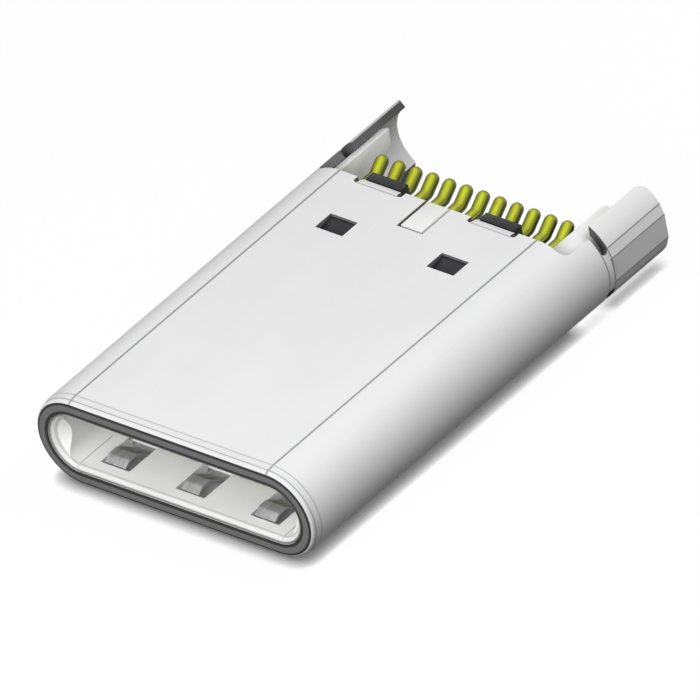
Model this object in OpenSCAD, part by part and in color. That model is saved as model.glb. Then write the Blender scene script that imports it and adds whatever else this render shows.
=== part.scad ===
// Reversible 24-contact plug with a drawn metal shell, for a thin board clipped between its tails.
// The mouth faces -Y, the flat faces are level, and the plug rests on its lower flat face.

/* [Shell] */
// Width across the round flanks
shell_w = 8.25; // [7.6:0.05:9.6]
// Height over the flat faces
shell_h = 2.4; // [2.3:0.05:3]
// Sheet thickness
shell_wall = 0.22; // [0.16:0.01:0.26]
// Length of the flat faces from the mouth
shell_len = 10; // [9.7:0.1:13]
// Radius of the front edge
nose_r = 0.13; // [0.08:0.01:0.16]
// How far the nose tapers in behind its rounded edge
nose_taper = 0.03; // [0:0.01:0.06]
// Length of the nose from the mouth to the full height
nose_len = 0.3; // [0.25:0.01:0.4]
// Straight length of the lip inside the mouth
lip_len = 0.2; // [0.1:0.01:0.3]

/* [Shell rear] */
// How far the flanks reach behind the flat faces
flank_len = 0.88; // [0.6:0.02:1.4]
// Where the edge of a flank lies, as an angle round it from the top
flank_angle = 40; // [35:1:45]
// Radius of the inner corner between flat face and flank
flank_corner = 0.25; // [0.1:0.01:0.3]
// Length of the neck that carries each ear
neck_len = 0.24; // [0.15:0.01:0.5]
// Where the slits beside the neck end, as an angle from the top
neck_angle = 60; // [55:1:70]
// Length of an ear
ear_len = 1.93; // [1.3:0.01:3]
// Where the edge of an ear lies, as an angle from the top
ear_angle = 29; // [25:1:40]
// Radius of the ear's rear corners
ear_corner = 0.3; // [0.15:0.01:0.4]
// Half height of the pressed flat on the outside of an ear
ear_flat_half = 0.32; // [0.2:0.01:0.45]
// Half height of the pressed bevels beside that flat
ear_bevel_half = 0.58; // [0.5:0.01:0.75]
// Depth of the press at the edges of that flat
ear_press = 0.01; // [0.01:0.01:0.03]

/* [Shell openings] */
// Width of a snap window
window_w = 0.8; // [0.5:0.05:1.1]
// Length of a snap window
window_len = 0.58; // [0.4:0.02:0.8]
// Middle of the windows, from the plug's centre line
window_x = 1.65; // [1.2:0.05:2]
// Middle of the windows, as a share of the way from the front housing to the rear edge
window_share = 0.34; // [0.3:0.01:0.4]
// Width of the key slot in the rear edge
key_slot_w = 0.72; // [0.5:0.02:0.9]
// Length of the key slot
key_slot_len = 1.05; // [0.7:0.05:1.2]
// Width of a pressed tab in the rear edge
tab_w = 1.28; // [1:0.02:1.4]
// Middle of the tabs, from the plug's centre line
tab_x = 1.68; // [1.5:0.02:1.9]
// Length of the relief cuts beside a tab
relief_len = 0.17; // [0.12:0.01:0.3]
// Width of a relief cut
relief_w = 0.1; // [0.06:0.01:0.14]
// How far the tab's edge is pressed down
tab_press = 0.03; // [0.01:0.01:0.06]

/* [Front housing] */
// From the mating cavity to the outside of each flank
side_wall = 0.785; // [0.75:0.005:0.9]
// Height of the mating cavity
cavity_h = 1.34; // [1.2:0.02:1.4]
// Corner radius of the mating cavity
cavity_corner = 0.3; // [0.1:0.02:0.5]
// Depth of the mating cavity from the mouth
cavity_depth = 6.4; // [5.8:0.1:6.6]
// Thickness of the wall behind the cavity
back_wall = 1; // [0.7:0.05:1.1]
// How far the housing stands back from the shell's front edge
mouth_recess = 0.02; // [0:0.01:0.06]
// Plain rim in front of the lead-in
lead_rim = 0.02; // [0.01:0.01:0.04]
// Depth of the comb slots above the contacts
comb_depth = 0.12; // [0.06:0.01:0.13]
// Width of a comb slot
comb_w = 0.33; // [0.3:0.01:0.38]
// Front end of the comb slots, from the mouth
comb_front = 1.3; // [1.2:0.05:1.4]

/* [Ground springs] */
// Sheet thickness of a ground spring
spring_t = 0.08; // [0.05:0.01:0.1]
// Width of the spring's base strip
spring_w = 5.8; // [5.4:0.1:5.85]
// Front edge of the base strip, from the mouth
spring_front = 1.6; // [1.58:0.02:1.8]
// Length of the base strip
spring_len = 0.75; // [0.5:0.05:1.2]
// Distance of the outer fingers from the centre line
finger_x = 2.22; // [2:0.02:2.3]
// Width of the outer fingers
finger_w = 0.45; // [0.35:0.01:0.5]
// Width of the middle finger
finger_mid_w = 0.38; // [0.3:0.01:0.5]
// Extra width of a finger at its root
finger_flare = 0.18; // [0.1:0.02:0.3]
// Front end of a finger, from the mouth
finger_front = 0.46; // [0.45:0.01:0.55]
// How far a finger stands into the cavity
finger_rise = 0.17; // [0.1:0.01:0.2]
// Length of the level top of a finger
finger_top = 0.24; // [0.15:0.01:0.3]
// Width of the pocket round a finger
pocket_w = 0.86; // [0.75:0.02:0.9]

/* [Contacts] */
// Contacts in a row
contact_count = 12; // [4:2:12]
// Spacing of the contacts
pitch = 0.5; // [0.48:0.01:0.52]
// Strip thickness of a contact
contact_t = 0.15; // [0.12:0.01:0.16]
// Width of the sprung beam
beam_w = 0.24; // [0.18:0.01:0.27]
// Width of the tail
tail_w = 0.34; // [0.24:0.01:0.36]
// Contact point of the beams, from the mouth
crown_y = 2.3; // [2.1:0.05:2.6]
// Gap between the two rows at their contact points, free
crown_gap = 0.54; // [0.44:0.02:0.62]
// Length of the lifted tip in front of the contact point
tip_len = 0.5; // [0.4:0.02:0.55]
// How far the tip lifts from the contact point
tip_lift = 0.27; // [0.15:0.01:0.27]
// How far the first-mating contacts stand in front of the others
first_mate_lead = 0.3; // [0:0.05:0.35]

/* [Tails] */
// Thickness of the board between the two rows of tails
board_t = 0.8; // [0.7:0.05:0.9]
// Level length of the tails behind the flat faces
tail_len = 0.92; // [0.8:0.02:1.4]
// Length of the flared end
flare_len = 0.53; // [0.35:0.01:0.6]
// Angle of the flared end
flare_angle = 38; // [30:1:60]

/* [Carriers and rear insulator] */
// Height of the snap bump inside the window, above the carrier
bump_h = 0.18; // [0.08:0.01:0.19]
// Length of the stop blocks behind the shell's edge
stop_len = 0.28; // [0.2:0.02:0.4]
// Width of a stop block
stop_w = 1.04; // [0.9:0.02:1.2]
// How far a stop block stays below the shell's face
stop_drop = 0.02; // [0:0.01:0.08]
// Thickness of the tail comb
comb_wall = 0.33; // [0.25:0.01:0.45]
// Depth of the key rib below the shell's inner face
key_depth = 0.16; // [0.1:0.01:0.2]
// Gap between a key rib and the edges of its slot
key_gap = 0.05; // [0.02:0.01:0.08]
// Thickness of the web that carries a key rib
key_web = 0.12; // [0.1:0.01:0.14]
// Gap between the board and each side cheek
board_gap = 0.05; // [0.02:0.01:0.1]
// Width of the board between the cheeks
board_w = 6.26; // [6:0.02:6.3]
// Reach of the cheeks behind the flat faces
cheek_len = 2.1; // [1.2:0.05:2.6]
// Chamfer at the rear end of a cheek
cheek_lead = 0.05; // [0.02:0.01:0.3]
// Half height of the notch in the rear end of a cheek that leads the board in
notch_half = 0.57; // [0.45:0.01:0.7]
// Depth of that notch
notch_len = 0.65; // [0.3:0.05:0.8]

/* [Latch plate] */
// Sheet thickness of the latch plate
latch_t = 0.16; // [0.1:0.01:0.2]
// Wall of the front housing outside a latch arm
arm_wall = 0.165; // [0.12:0.005:0.2]
// Front end of the arms, from the mouth
arm_front = 1.75; // [1.6:0.05:2]
// How far a hook stands into the cavity
hook_reach = 0.3; // [0.2:0.01:0.4]
// Length of a hook
hook_len = 0.75; // [0.6:0.05:1]
// Play of an arm in its slot, each side
arm_play = 0.06; // [0.03:0.01:0.08]
// Diameter of the two locating holes
locating_d = 0.7; // [0.4:0.05:1]

/* [Fits] */
// Clearance between pieces that slide into each other
fit = 0.02; // [0.01:0.005:0.03]

/* [Hidden] */
$fn = 48;
// Overlap of a cutting shape past the face that it cuts
past = 0.5;
sides = [-1, 1];

shell_r = shell_h / 2;
flat_w = shell_w - shell_h;
inner_r = shell_r - shell_wall;
front_r = shell_r - nose_taper - nose_r;
lip_r = front_r - shell_wall;
lip_slope = inner_r - lip_r;
flank_y = shell_len + flank_len;
ear_y = flank_y + neck_len;
total_len = ear_y + ear_len;
ear_x = flat_w / 2 + shell_r * sin(ear_angle);

housing_r = inner_r - fit;
housing_nose_r = lip_r - fit;
housing_end = cavity_depth + back_wall;
cavity_w = shell_w - 2 * side_wall;
cavity_half = cavity_h / 2;

contact_z = (board_t + contact_t) / 2;
crown_z = (crown_gap + contact_t) / 2;
flare_y = shell_len + tail_len;
row_x = [for (k = [1 : contact_count]) (k - (contact_count + 1) / 2) * pitch];
first_mates = [1, 4, contact_count - 3, contact_count];

spring_z = housing_r - fit - spring_t / 2;
seat_z = spring_z - spring_t / 2;
fingers = [[-finger_x, finger_w], [0, finger_mid_w], [finger_x, finger_w]];

arm_x = cavity_w / 2 + arm_play;
arm_w = side_wall - shell_wall - fit - arm_wall - 2 * arm_play;
arm_slot_half = latch_t / 2 + arm_play;
plate_front = cavity_depth + back_wall / 3;

carrier_front = housing_end + fit;
carrier_end = shell_len + 2 * fit;
window_y = carrier_front + window_share * (shell_len - carrier_front);
stop_z = shell_r - stop_drop;
comb_y = carrier_end + fit;
comb_end = comb_y + comb_wall;
comb_half = contact_z + contact_t / 2 + fit;
cheek_x = board_w / 2 + board_gap;
cheek_r = inner_r - fit;
cheek_end = shell_len + cheek_len;
key_w = key_slot_w - 2 * key_gap;
key_front = shell_len - key_slot_len + key_gap;
key_floor = housing_r - key_depth;

upper_names = [for (k = [1 : contact_count]) str("upper_contact_", k)];
lower_names = [for (k = [1 : contact_count]) str("lower_contact_", k)];

// Points as [y, z] or [y, radius], front to rear

function unit(v) = v / norm(v);
function swap(points) = [for (p = points) [p.y, p.x]];
function reversed(points) = [for (k = [len(points) - 1 : -1 : 0]) points[k]];

// Half width of the shell's outside at height z
function flank_x(z) = flat_w / 2 + sqrt(shell_r * shell_r - z * z);

// Arc that rounds the corner b between a and c
function corner_arc(a, b, c, r, steps) =
    let (u = unit(a - b), w = unit(c - b), half = acos(u * w) / 2,
         centre = b + unit(u + w) * r / sin(half),
         first = b + u * r / tan(half) - centre,
         last = b + w * r / tan(half) - centre)
    [for (k = [0 : steps]) centre + r * unit(first * (steps - k) + last * k)];

// Path with every inner corner rounded by its own radius
function rounded(path, radii, steps = 5) =
    [path[0],
     for (k = [1 : len(path) - 2]) each corner_arc(path[k - 1], path[k], path[k + 1], radii[k - 1], steps),
     path[len(path) - 1]];

// Sideways direction at point k of a path, stretched so that a strip keeps its thickness in the bends
function side_dir(path, k) =
    let (last = len(path) - 1,
         before = unit(path[max(k, 1)] - path[max(k, 1) - 1]),
         after = unit(path[min(k + 1, last)] - path[min(k, last - 1)]),
         n = [-before.y, before.x], m = unit(n + [-after.y, after.x]))
    m / (m * n);

// Outline of a bent strip of thickness t along a path
function strip(path, t) = concat(
    [for (k = [0 : len(path) - 1]) path[k] + side_dir(path, k) * t / 2],
    reversed([for (k = [0 : len(path) - 1]) path[k] - side_dir(path, k) * t / 2]));

// From the mouth and mid height to the part's own frame, on the ground and centred
module placed() {
    translate([0, -total_len / 2, shell_r]) children();
}

// Outline in [y, z] given the width w across the plug
module across(w) {
    rotate([90, 0, 90]) linear_extrude(w, center = true) children();
}

// Outline in [x, z] given a length from y0 to y1
module along(y0, y1) {
    translate([0, y1, 0]) rotate([90, 0, 0]) linear_extrude(y1 - y0) children();
}

// Outline in [x, y] given a height from z0 to z1
module up(z0, z1) {
    translate([0, 0, z0]) linear_extrude(z1 - z0) children();
}

module block(x, y, z) {
    translate([x[0], y[0], z[0]]) cube([x[1] - x[0], y[1] - y[0], z[1] - z[0]]);
}

module both_faces() {
    children();
    mirror([0, 0, 1]) children();
}

module both_flanks() {
    children();
    mirror([1, 0, 0]) children();
}

// Body of the plug's round-ended section, whose radius along Y is the profile
module round_body(profile) {
    both_faces() across(flat_w) polygon(profile);
    for (s = sides)
        translate([s * flat_w / 2, 0, 0]) rotate([-90, 0, 0]) rotate([0, 0, -90 * s])
            rotate_extrude(angle = 180) polygon(swap(profile));
}

module round_rect(w, h, r) {
    square([w - 2 * r, h], center = true);
    square([w, h - 2 * r], center = true);
    for (sx = sides, sy = sides)
        translate([sx * (w / 2 - r), sy * (h / 2 - r)]) circle(r);
}

// Section of the shell's wall, with its front edge rounded and turned in
module shell_wall_body() {
    edge = [for (a = [0 : 15 : 90]) [nose_r - nose_r * cos(a), front_r + nose_r * sin(a)]];
    round_body(concat(
        edge,
        [[nose_len, shell_r], [total_len, shell_r], [total_len, inner_r],
         [lip_len + lip_slope, inner_r], [lip_len, lip_r], [0, lip_r]]));
}

// Outline in [arc, y] projected on the sheet at an angle round the flank, on all four quarters
module on_flanks(angle) {
    both_flanks() both_faces()
        translate([flat_w / 2, 0, 0]) rotate([0, angle, 0]) linear_extrude(shell_h) children();
}

// Angle round the outside of the flank that a length of arc covers
function arc_angle(length) = length / shell_r * 180 / PI;

// Stretch of the flanks from y0 to y1, from the given angle at the top to the same angle at the bottom
module flank_stretch(y0, y1, angle) {
    reach = 2 * shell_h;
    both_flanks() translate([flat_w / 2, 0, 0]) along(y0, y1)
        polygon([[0, 0], reach * [sin(angle), cos(angle)], reach * [sin(angle), -cos(angle)]]);
}

// What is left of the drawn tube: the full stretch, then flanks, necks and ears
module shell_stretches() {
    block([-shell_w, shell_w], [-past, shell_len], [-shell_h, shell_h]);
    flank_stretch(shell_len - past, flank_y, flank_angle);
    flank_stretch(flank_y - past, ear_y + past, neck_angle);
    both_flanks() block([ear_x, shell_w], [ear_y, total_len], [-shell_h, shell_h]);
    on_flanks(flank_angle - arc_angle(flank_corner)) translate([0, shell_len]) difference() {
        translate([0, -past]) square([flank_corner, past + flank_corner]);
        translate([0, flank_corner - fit / 2]) circle(flank_corner);
    }
}

// Round ends of the slits beside the necks, and the round rear corners of the ears
module rear_rounds() {
    on_flanks(neck_angle) translate([-fit, flank_y + neck_len / 2]) circle(d = neck_len);
    on_flanks(ear_angle + arc_angle(ear_corner)) translate([0, total_len - ear_corner]) difference() {
        translate([-2 * ear_corner, 0]) square(2 * ear_corner);
        translate([0, fit / 2]) circle(ear_corner);
    }
}

module snap_windows() {
    both_flanks() both_faces()
        block([window_x - window_w / 2, window_x + window_w / 2],
              [window_y - window_len / 2, window_y + window_len / 2], [housing_r, shell_h]);
}

module key_slots() {
    both_faces()
        block([-key_slot_w / 2, key_slot_w / 2], [shell_len - key_slot_len, shell_len + past], [0, shell_h]);
}

// Relief cuts and the pressed slope of the tabs in the rear edge
module rear_tabs() {
    both_flanks() both_faces() {
        for (s = sides)
            translate([tab_x + s * tab_w / 2, shell_len - relief_len + relief_w / 2]) up(0, shell_h) {
                circle(d = relief_w);
                translate([-relief_w / 2, 0]) square([relief_w, relief_len + past]);
            }
        translate([tab_x, 0, 0]) across(tab_w) polygon([
            [shell_len - relief_len + relief_w / 2, shell_r],
            [shell_len - relief_len + relief_w / 2, shell_h],
            [shell_len + past, shell_h],
            [shell_len + past, shell_r - tab_press],
            [shell_len, shell_r - tab_press]]);
    }
}

// What is pressed off the outside of the ears: a flat between two bevels
module ear_press() {
    flat_edge = [flank_x(ear_flat_half) - ear_press, ear_flat_half];
    bevel_edge = [flank_x(ear_bevel_half), ear_bevel_half];
    outside = 2 * bevel_edge - flat_edge;
    upper = [[shell_w, outside.y], outside, flat_edge];
    both_flanks() along(ear_y - neck_len / 4, total_len + past)
        polygon(concat(upper, reversed([for (p = upper) [p.x, -p.y]])));
}

module shell() {
    color("gainsboro") placed() difference() {
        intersection() {
            shell_wall_body();
            shell_stretches();
        }
        rear_rounds();
        snap_windows();
        key_slots();
        rear_tabs();
        ear_press();
    }
}

// Straight channels in which the contacts of one row lie
module contact_channels(y0, y1) {
    half_w = tail_w / 2 + fit;
    half_t = contact_t / 2 + fit;
    for (x = row_x)
        block([x - half_w, x + half_w], [y0, y1], [contact_z - half_t, contact_z + half_t]);
}

module comb_slots() {
    for (x = row_x)
        block([x - comb_w / 2, x + comb_w / 2], [comb_front, cavity_depth],
              [contact_z, cavity_half + comb_depth]);
}

// Pockets of the ground fingers, and the seat of the spring's base strip outside
module spring_seats() {
    for (f = fingers)
        block([f.x - pocket_w / 2, f.x + pocket_w / 2],
              [finger_front - 2 * fit, spring_front], [contact_z, shell_r]);
    block([-spring_w / 2 - fit, spring_w / 2 + fit],
          [spring_front - fit, spring_front + spring_len + fit], [seat_z, shell_r]);
}

// Slots beside the cavity for the latch arms, and the slit for the plate
module latch_slots() {
    slot_x = arm_x + arm_w + arm_play;
    block([-slot_x, slot_x], [plate_front - fit, housing_end + past],
          [-latch_t / 2 - fit, latch_t / 2 + fit]);
    both_flanks()
        block([cavity_w / 2 - past, slot_x], [arm_front - arm_play, housing_end + past],
              [-arm_slot_half, arm_slot_half]);
}

module front_housing() {
    step_y = lip_len + 2 * fit;
    lead_r = housing_nose_r - lead_rim;
    color("whitesmoke") placed() difference() {
        round_body([
            [mouth_recess, 0], [mouth_recess, housing_nose_r], [step_y, housing_nose_r],
            [step_y + lip_slope, housing_r], [housing_end, housing_r], [housing_end, 0]]);
        along(-past, cavity_depth) round_rect(cavity_w, cavity_h, cavity_corner);
        round_body([
            [mouth_recess - past, 0], [mouth_recess - past, lead_r + past], [mouth_recess + lead_r, 0]]);
        both_faces() {
            comb_slots();
            spring_seats();
            contact_channels(cavity_depth - past, housing_end + past);
        }
        latch_slots();
    }
}

// Wedge that snaps into a window from the front
module snap_bump() {
    half_len = window_len / 2 - fit;
    translate([window_x, window_y, 0]) across(window_w - 2 * fit) polygon([
        [-half_len, contact_z], [-half_len, housing_r + bump_h / 2],
        [half_len / 2, housing_r + bump_h], [half_len, housing_r + bump_h], [half_len, contact_z]]);
}

// Block that stops against the shell's rear edge
module stop_block() {
    block([tab_x - stop_w / 2, tab_x + stop_w / 2], [carrier_end, carrier_end + stop_len],
          [comb_half + fit, stop_z]);
}

module carrier() {
    difference() {
        union() {
            round_body([
                [carrier_front, 0], [carrier_front, housing_r], [carrier_end, housing_r], [carrier_end, 0]]);
            both_flanks() snap_bump();
            both_flanks() stop_block();
        }
        block([-shell_w, shell_w], [0, total_len], [-shell_h, latch_t / 2]);
        contact_channels(carrier_front - past, carrier_end + past);
        block([-key_slot_w / 2, key_slot_w / 2], [key_front - fit, carrier_end + past], [key_floor, shell_h]);
    }
}

module upper_carrier() {
    color("dimgray") placed() carrier();
}

module lower_carrier() {
    color("dimgray") placed() mirror([0, 0, 1]) carrier();
}

// Rib in the shell's key slot with the web that ties it to the comb
module key_rib() {
    across(key_w) polygon([
        [key_front, key_floor], [key_front, shell_r], [shell_len, shell_r], [comb_y + key_web, inner_r],
        [comb_y + key_web, 0], [comb_y, 0], [comb_y, key_floor]]);
}

// Side cheek that guides the board's edge, rounded to the inside of an ear
module cheek() {
    intersection() {
        translate([flat_w / 2, 0, 0]) along(comb_y, cheek_end) circle(cheek_r);
        up(-shell_h, shell_h) polygon([
            [cheek_x, comb_y], [shell_w, comb_y], [shell_w, cheek_end],
            [cheek_x + cheek_lead, cheek_end], [cheek_x, cheek_end - 2 * cheek_lead]]);
    }
}

// Notch across the ends of both cheeks, open to the rear
module board_notch() {
    across(shell_w) polygon([
        [cheek_end - notch_len, 0],
        [cheek_end + notch_len, 2 * notch_half],
        [cheek_end + notch_len, -2 * notch_half]]);
}

module rear_insulator() {
    color("white") placed() difference() {
        union() {
            block([-cheek_x - fit, cheek_x + fit], [comb_y, comb_end], [-comb_half, comb_half]);
            both_flanks() cheek();
            both_faces() key_rib();
        }
        both_faces() contact_channels(comb_y - past, comb_end + past);
        board_notch();
    }
}

// Stamped outline of the latch plate, seen from above
module latch_outline() {
    hook_x = cavity_w / 2 - hook_reach;
    half = [
        [arm_x, plate_front], [arm_x, arm_front + hook_len],
        [hook_x, arm_front + hook_len * 2 / 3], [hook_x, arm_front + hook_len / 2],
        [arm_x, arm_front], [arm_x + arm_w, arm_front], [arm_x + arm_w, carrier_end]];
    difference() {
        polygon(concat(half, reversed([for (p = half) [-p.x, p.y]])));
        for (s = sides)
            translate([s * window_x, (carrier_front + carrier_end) / 2]) circle(d = locating_d);
    }
}

module latch_plate() {
    color("silver") placed() up(-latch_t / 2, latch_t / 2) latch_outline();
}

// Ground spring: base strip on the housing and fingers that dip through the pockets
module emi_spring() {
    top_z = cavity_half - finger_rise + spring_t / 2;
    peak_y = finger_front + finger_rise;
    path = rounded(
        [[finger_front, cavity_half], [peak_y, top_z], [peak_y + finger_top, top_z],
         [spring_front - finger_flare, spring_z], [spring_front + spring_len / 2, spring_z]],
        [spring_t, spring_t, 2 * spring_t]);
    translate([0, 0, spring_z])
        block([-spring_w / 2, spring_w / 2], [spring_front, spring_front + spring_len],
              [-spring_t / 2, spring_t / 2]);
    for (f = fingers) translate([f.x, 0, 0]) intersection() {
        across(f.y + finger_flare) polygon(strip(path, spring_t));
        up(0, shell_h) finger_plan(f.y / 2, peak_y + finger_top);
    }
}

// Plan of a ground finger that widens behind its level top towards its root
module finger_plan(half, top_end) {
    root = half + finger_flare / 2;
    right = [[half, 0], [half, top_end], [root, spring_front], [root, shell_len]];
    polygon(concat(right, reversed([for (p = right) [-p.x, p.y]])));
}

module upper_emi_spring() {
    color("lightgray") placed() emi_spring();
}

module lower_emi_spring() {
    color("lightgray") placed() mirror([0, 0, 1]) emi_spring();
}

// Cuts the end of a tail to a half round
module tail_tip_cut() {
    reach = flare_len - tail_w / 2;
    translate([0, flare_y + reach * cos(flare_angle), contact_z + reach * sin(flare_angle)])
        rotate([flare_angle, 0, 0]) linear_extrude(4 * contact_t, center = true) difference() {
            translate([-tail_w, 0]) square([2 * tail_w, tail_w]);
            circle(d = tail_w);
        }
}

// One contact: lifted tip, contact point, sprung beam, straight shank and flared tail
module contact(k) {
    lead = len(search(k, first_mates)) > 0 ? first_mate_lead : 0;
    path = rounded(
        [[crown_y - lead - tip_len, crown_z + tip_lift],
         [crown_y - lead, crown_z],
         [cavity_depth, contact_z],
         [flare_y, contact_z],
         [flare_y + flare_len * cos(flare_angle), contact_z + flare_len * sin(flare_angle)]],
        [2 * contact_t, 3 * contact_t, contact_t]);
    translate([row_x[k - 1], 0, 0]) difference() {
        across(tail_w) polygon(strip(path, contact_t));
        both_flanks() block([beam_w / 2, tail_w], [0, cavity_depth - fit], [0, shell_r]);
        tail_tip_cut();
    }
}

module upper_contact(k) {
    color("gold") placed() contact(k);
}

module lower_contact(k) {
    color("gold") placed() mirror([0, 0, 1]) contact(k);
}

shell();
front_housing();
upper_carrier();
lower_carrier();
rear_insulator();
latch_plate();
upper_emi_spring();
lower_emi_spring();
for (k = [1 : contact_count]) {
    upper_contact(k);
    lower_contact(k);
}
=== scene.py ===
"""Dresses the frame of a reversible 24-contact plug: drawn shell, moulded parts, springs and plated contacts.

Pieces are modelled in millimetres from the mouth and from mid height, and then set into the frame in metres.
"""

import math
from functools import reduce
from operator import or_

import bmesh
import bpy
from mathutils import Matrix, Vector


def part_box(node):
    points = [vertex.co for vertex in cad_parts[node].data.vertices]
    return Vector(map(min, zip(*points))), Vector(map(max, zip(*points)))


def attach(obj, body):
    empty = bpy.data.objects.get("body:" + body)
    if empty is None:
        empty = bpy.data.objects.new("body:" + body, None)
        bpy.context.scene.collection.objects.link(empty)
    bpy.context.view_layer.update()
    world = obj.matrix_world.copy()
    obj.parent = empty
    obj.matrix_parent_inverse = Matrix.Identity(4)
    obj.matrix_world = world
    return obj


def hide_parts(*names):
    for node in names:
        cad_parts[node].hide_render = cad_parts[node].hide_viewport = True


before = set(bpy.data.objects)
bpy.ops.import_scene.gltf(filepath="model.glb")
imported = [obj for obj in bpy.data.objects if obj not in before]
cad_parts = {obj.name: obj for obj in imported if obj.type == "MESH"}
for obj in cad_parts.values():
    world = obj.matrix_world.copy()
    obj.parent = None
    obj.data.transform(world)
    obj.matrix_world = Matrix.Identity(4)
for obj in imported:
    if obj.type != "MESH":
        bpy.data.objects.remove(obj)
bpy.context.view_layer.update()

bl_info = {
    "name": "Reversible plug",
    "version": (1, 0, 0),
    "blender": (4, 5, 0),
    "location": "View3D > Sidebar > Plug",
    "description": "Models the pieces of a reversible 24-contact plug round its frame",
    "category": "Object",
}

PER_METRE = 1000
# Points closer than this in millimetres are one, and faces closer than this angle are one plane
NEAR = 1e-4
COPLANAR = math.radians(0.5)
# Attribute of the shell's faces that were cut through the sheet
SHEARED = "sheared"
# Sockets of a Mix node that blends colours
MIX_FACTOR, MIX_FIRST, MIX_SECOND, MIX_RESULT = 0, 6, 7, 2

SHELL_LOW, SHELL_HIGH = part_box("shell")
MOUTH = SHELL_LOW.y
MIDDLE = (SHELL_LOW.z + SHELL_HIGH.z) / 2
CONTACTS_IN_ROW = sum(name.startswith("upper_contact_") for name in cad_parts)


# Settings

def length(name, description, default):
    """A length that the sidebar shows in the scene's unit."""
    return bpy.props.FloatProperty(
        name=name, description=description, default=default, min=0, precision=5, unit="LENGTH")


def angle(name, description, degrees):
    """An angle that the sidebar shows in degrees."""
    return bpy.props.FloatProperty(
        name=name, description=description, default=math.radians(degrees), unit="ROTATION")


def colour(name, description, default):
    """A colour that the sidebar shows as a swatch."""
    return bpy.props.FloatVectorProperty(
        name=name, description=description, default=default, min=0, max=1, size=3, subtype="COLOR")


def power(name, description, default):
    """A light's power that the sidebar shows in watts."""
    return bpy.props.FloatProperty(name=name, description=description, default=default, min=0, unit="POWER")


class ShellSettings(bpy.types.PropertyGroup):
    """Sizes and finish of the drawn shell"""

    width: length("Width", "Width across the round flanks", SHELL_HIGH.x - SHELL_LOW.x)
    height: length("Height", "Height over the flat faces", SHELL_HIGH.z - SHELL_LOW.z)
    total: length("Length", "Length from the mouth to the end of the ears", SHELL_HIGH.y - SHELL_LOW.y)
    wall: length("Sheet", "Thickness of the sheet", 0.00022)
    face: length("Flat face", "Length of the flat faces from the mouth", 0.01)
    nose_radius: length("Nose radius", "Radius of the front edge", 0.00013)
    nose: length("Nose", "Length of the tapered nose", 0.0003)
    flank: length("Flank", "Reach of the flanks behind the flat faces", 0.00088)
    flank_edge: angle("Flank edge", "Edge of a flank, from the top", 40)
    flank_corner: length("Flank corner", "Radius between the rear edge and a flank", 0.00025)
    neck: length("Neck", "Length of the neck that carries an ear", 0.00024)
    neck_edge: angle("Neck edge", "End of the slits beside a neck, from the top", 60)
    ear_edge: angle("Ear edge", "Edge of an ear, from the top", 29)
    ear_corner: length("Ear corner", "Radius of the rear corners of an ear", 0.0003)
    tint: colour("Nickel", "Colour of the satin nickel", (0.8, 0.8, 0.805))


class ContactSettings(bpy.types.PropertyGroup):
    """Sizes and finish of the contacts"""

    pitch: length("Pitch", "Spacing of the contacts", 0.0005)
    strip: length("Strip", "Thickness of the strip", 0.00015)
    tail: length("Tail", "Width of a tail", 0.00034)
    beam: length("Beam", "Width of a sprung beam", 0.00024)
    edge: length("Edge", "Rounding of the coined edges", 0.00005)
    tint: colour("Plating", "Colour of the plating", (0.52, 0.57, 0.02))


class MouldingSettings(bpy.types.PropertyGroup):
    """Finishes of the moulded parts and the springs"""

    edge: length("Edge", "Rounding of the moulded edges", 0.00001)
    spring_edge: length("Spring edge", "Rounding of the stamped springs' edges", 0.00001)
    housing: colour("Housing", "Colour of the front housing", (0.9, 0.9, 0.893))
    carrier: colour("Carrier", "Colour of the contact carriers", (0.012, 0.012, 0.014))
    insulator: colour("Insulator", "Colour of the rear insulator", (0.82, 0.82, 0.81))
    steel: colour("Steel", "Colour of the springs and the latch plate", (0.34, 0.34, 0.345))


class StageSettings(bpy.types.PropertyGroup):
    """Light, floor and camera"""

    floor: colour("Floor", "Colour of the floor", (0.04, 0.04, 0.04))
    floor_lift: bpy.props.FloatProperty(
        name="Floor lift", description="How far the floor is lifted towards white for the camera",
        default=0.96, min=0, max=1, subtype="FACTOR")
    shade_reach: length("Shade reach", "Distance over which the plug shades the floor", 0.00036)
    sky: bpy.props.FloatProperty(
        name="Sky", description="Strength of the even light from all sides", default=0.08, min=0)
    key: power("Key light", "Power of the large light above the mouth", 0.032)
    strip: power("Strip light", "Power of the light behind the right flank", 0.02)
    mouth: power("Mouth light", "Power of the low light before the mouth", 0.0255)
    view_width: length("View", "Width of the camera's view", 0.015967)


SETTINGS = {
    "plug_shell": ShellSettings,
    "plug_contacts": ContactSettings,
    "plug_mouldings": MouldingSettings,
    "plug_stage": StageSettings,
}


# Modelling

def mm(metres):
    return metres * PER_METRE


def clear_selection():
    """Leave edit mode with nothing selected."""
    if bpy.context.mode != "OBJECT":
        bpy.ops.object.mode_set(mode="OBJECT")
    bpy.ops.object.select_all(action="DESELECT")


def make_active(piece):
    clear_selection()
    piece.select_set(True)
    bpy.context.view_layer.objects.active = piece


def edit(piece):
    """Open one piece in edit mode, to select by its vertices."""
    make_active(piece)
    bpy.ops.object.mode_set(mode="EDIT")
    bpy.ops.mesh.select_mode(type="VERT")


def pick(piece, test):
    """Select the vertices that pass a test on their place, and nothing else."""
    bpy.ops.mesh.select_all(action="DESELECT")
    mesh = bmesh.from_edit_mesh(piece.data)
    for vertex in mesh.verts:
        vertex.select = test(vertex.co)
    mesh.select_flush(True)
    bmesh.update_edit_mesh(piece.data)


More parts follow.
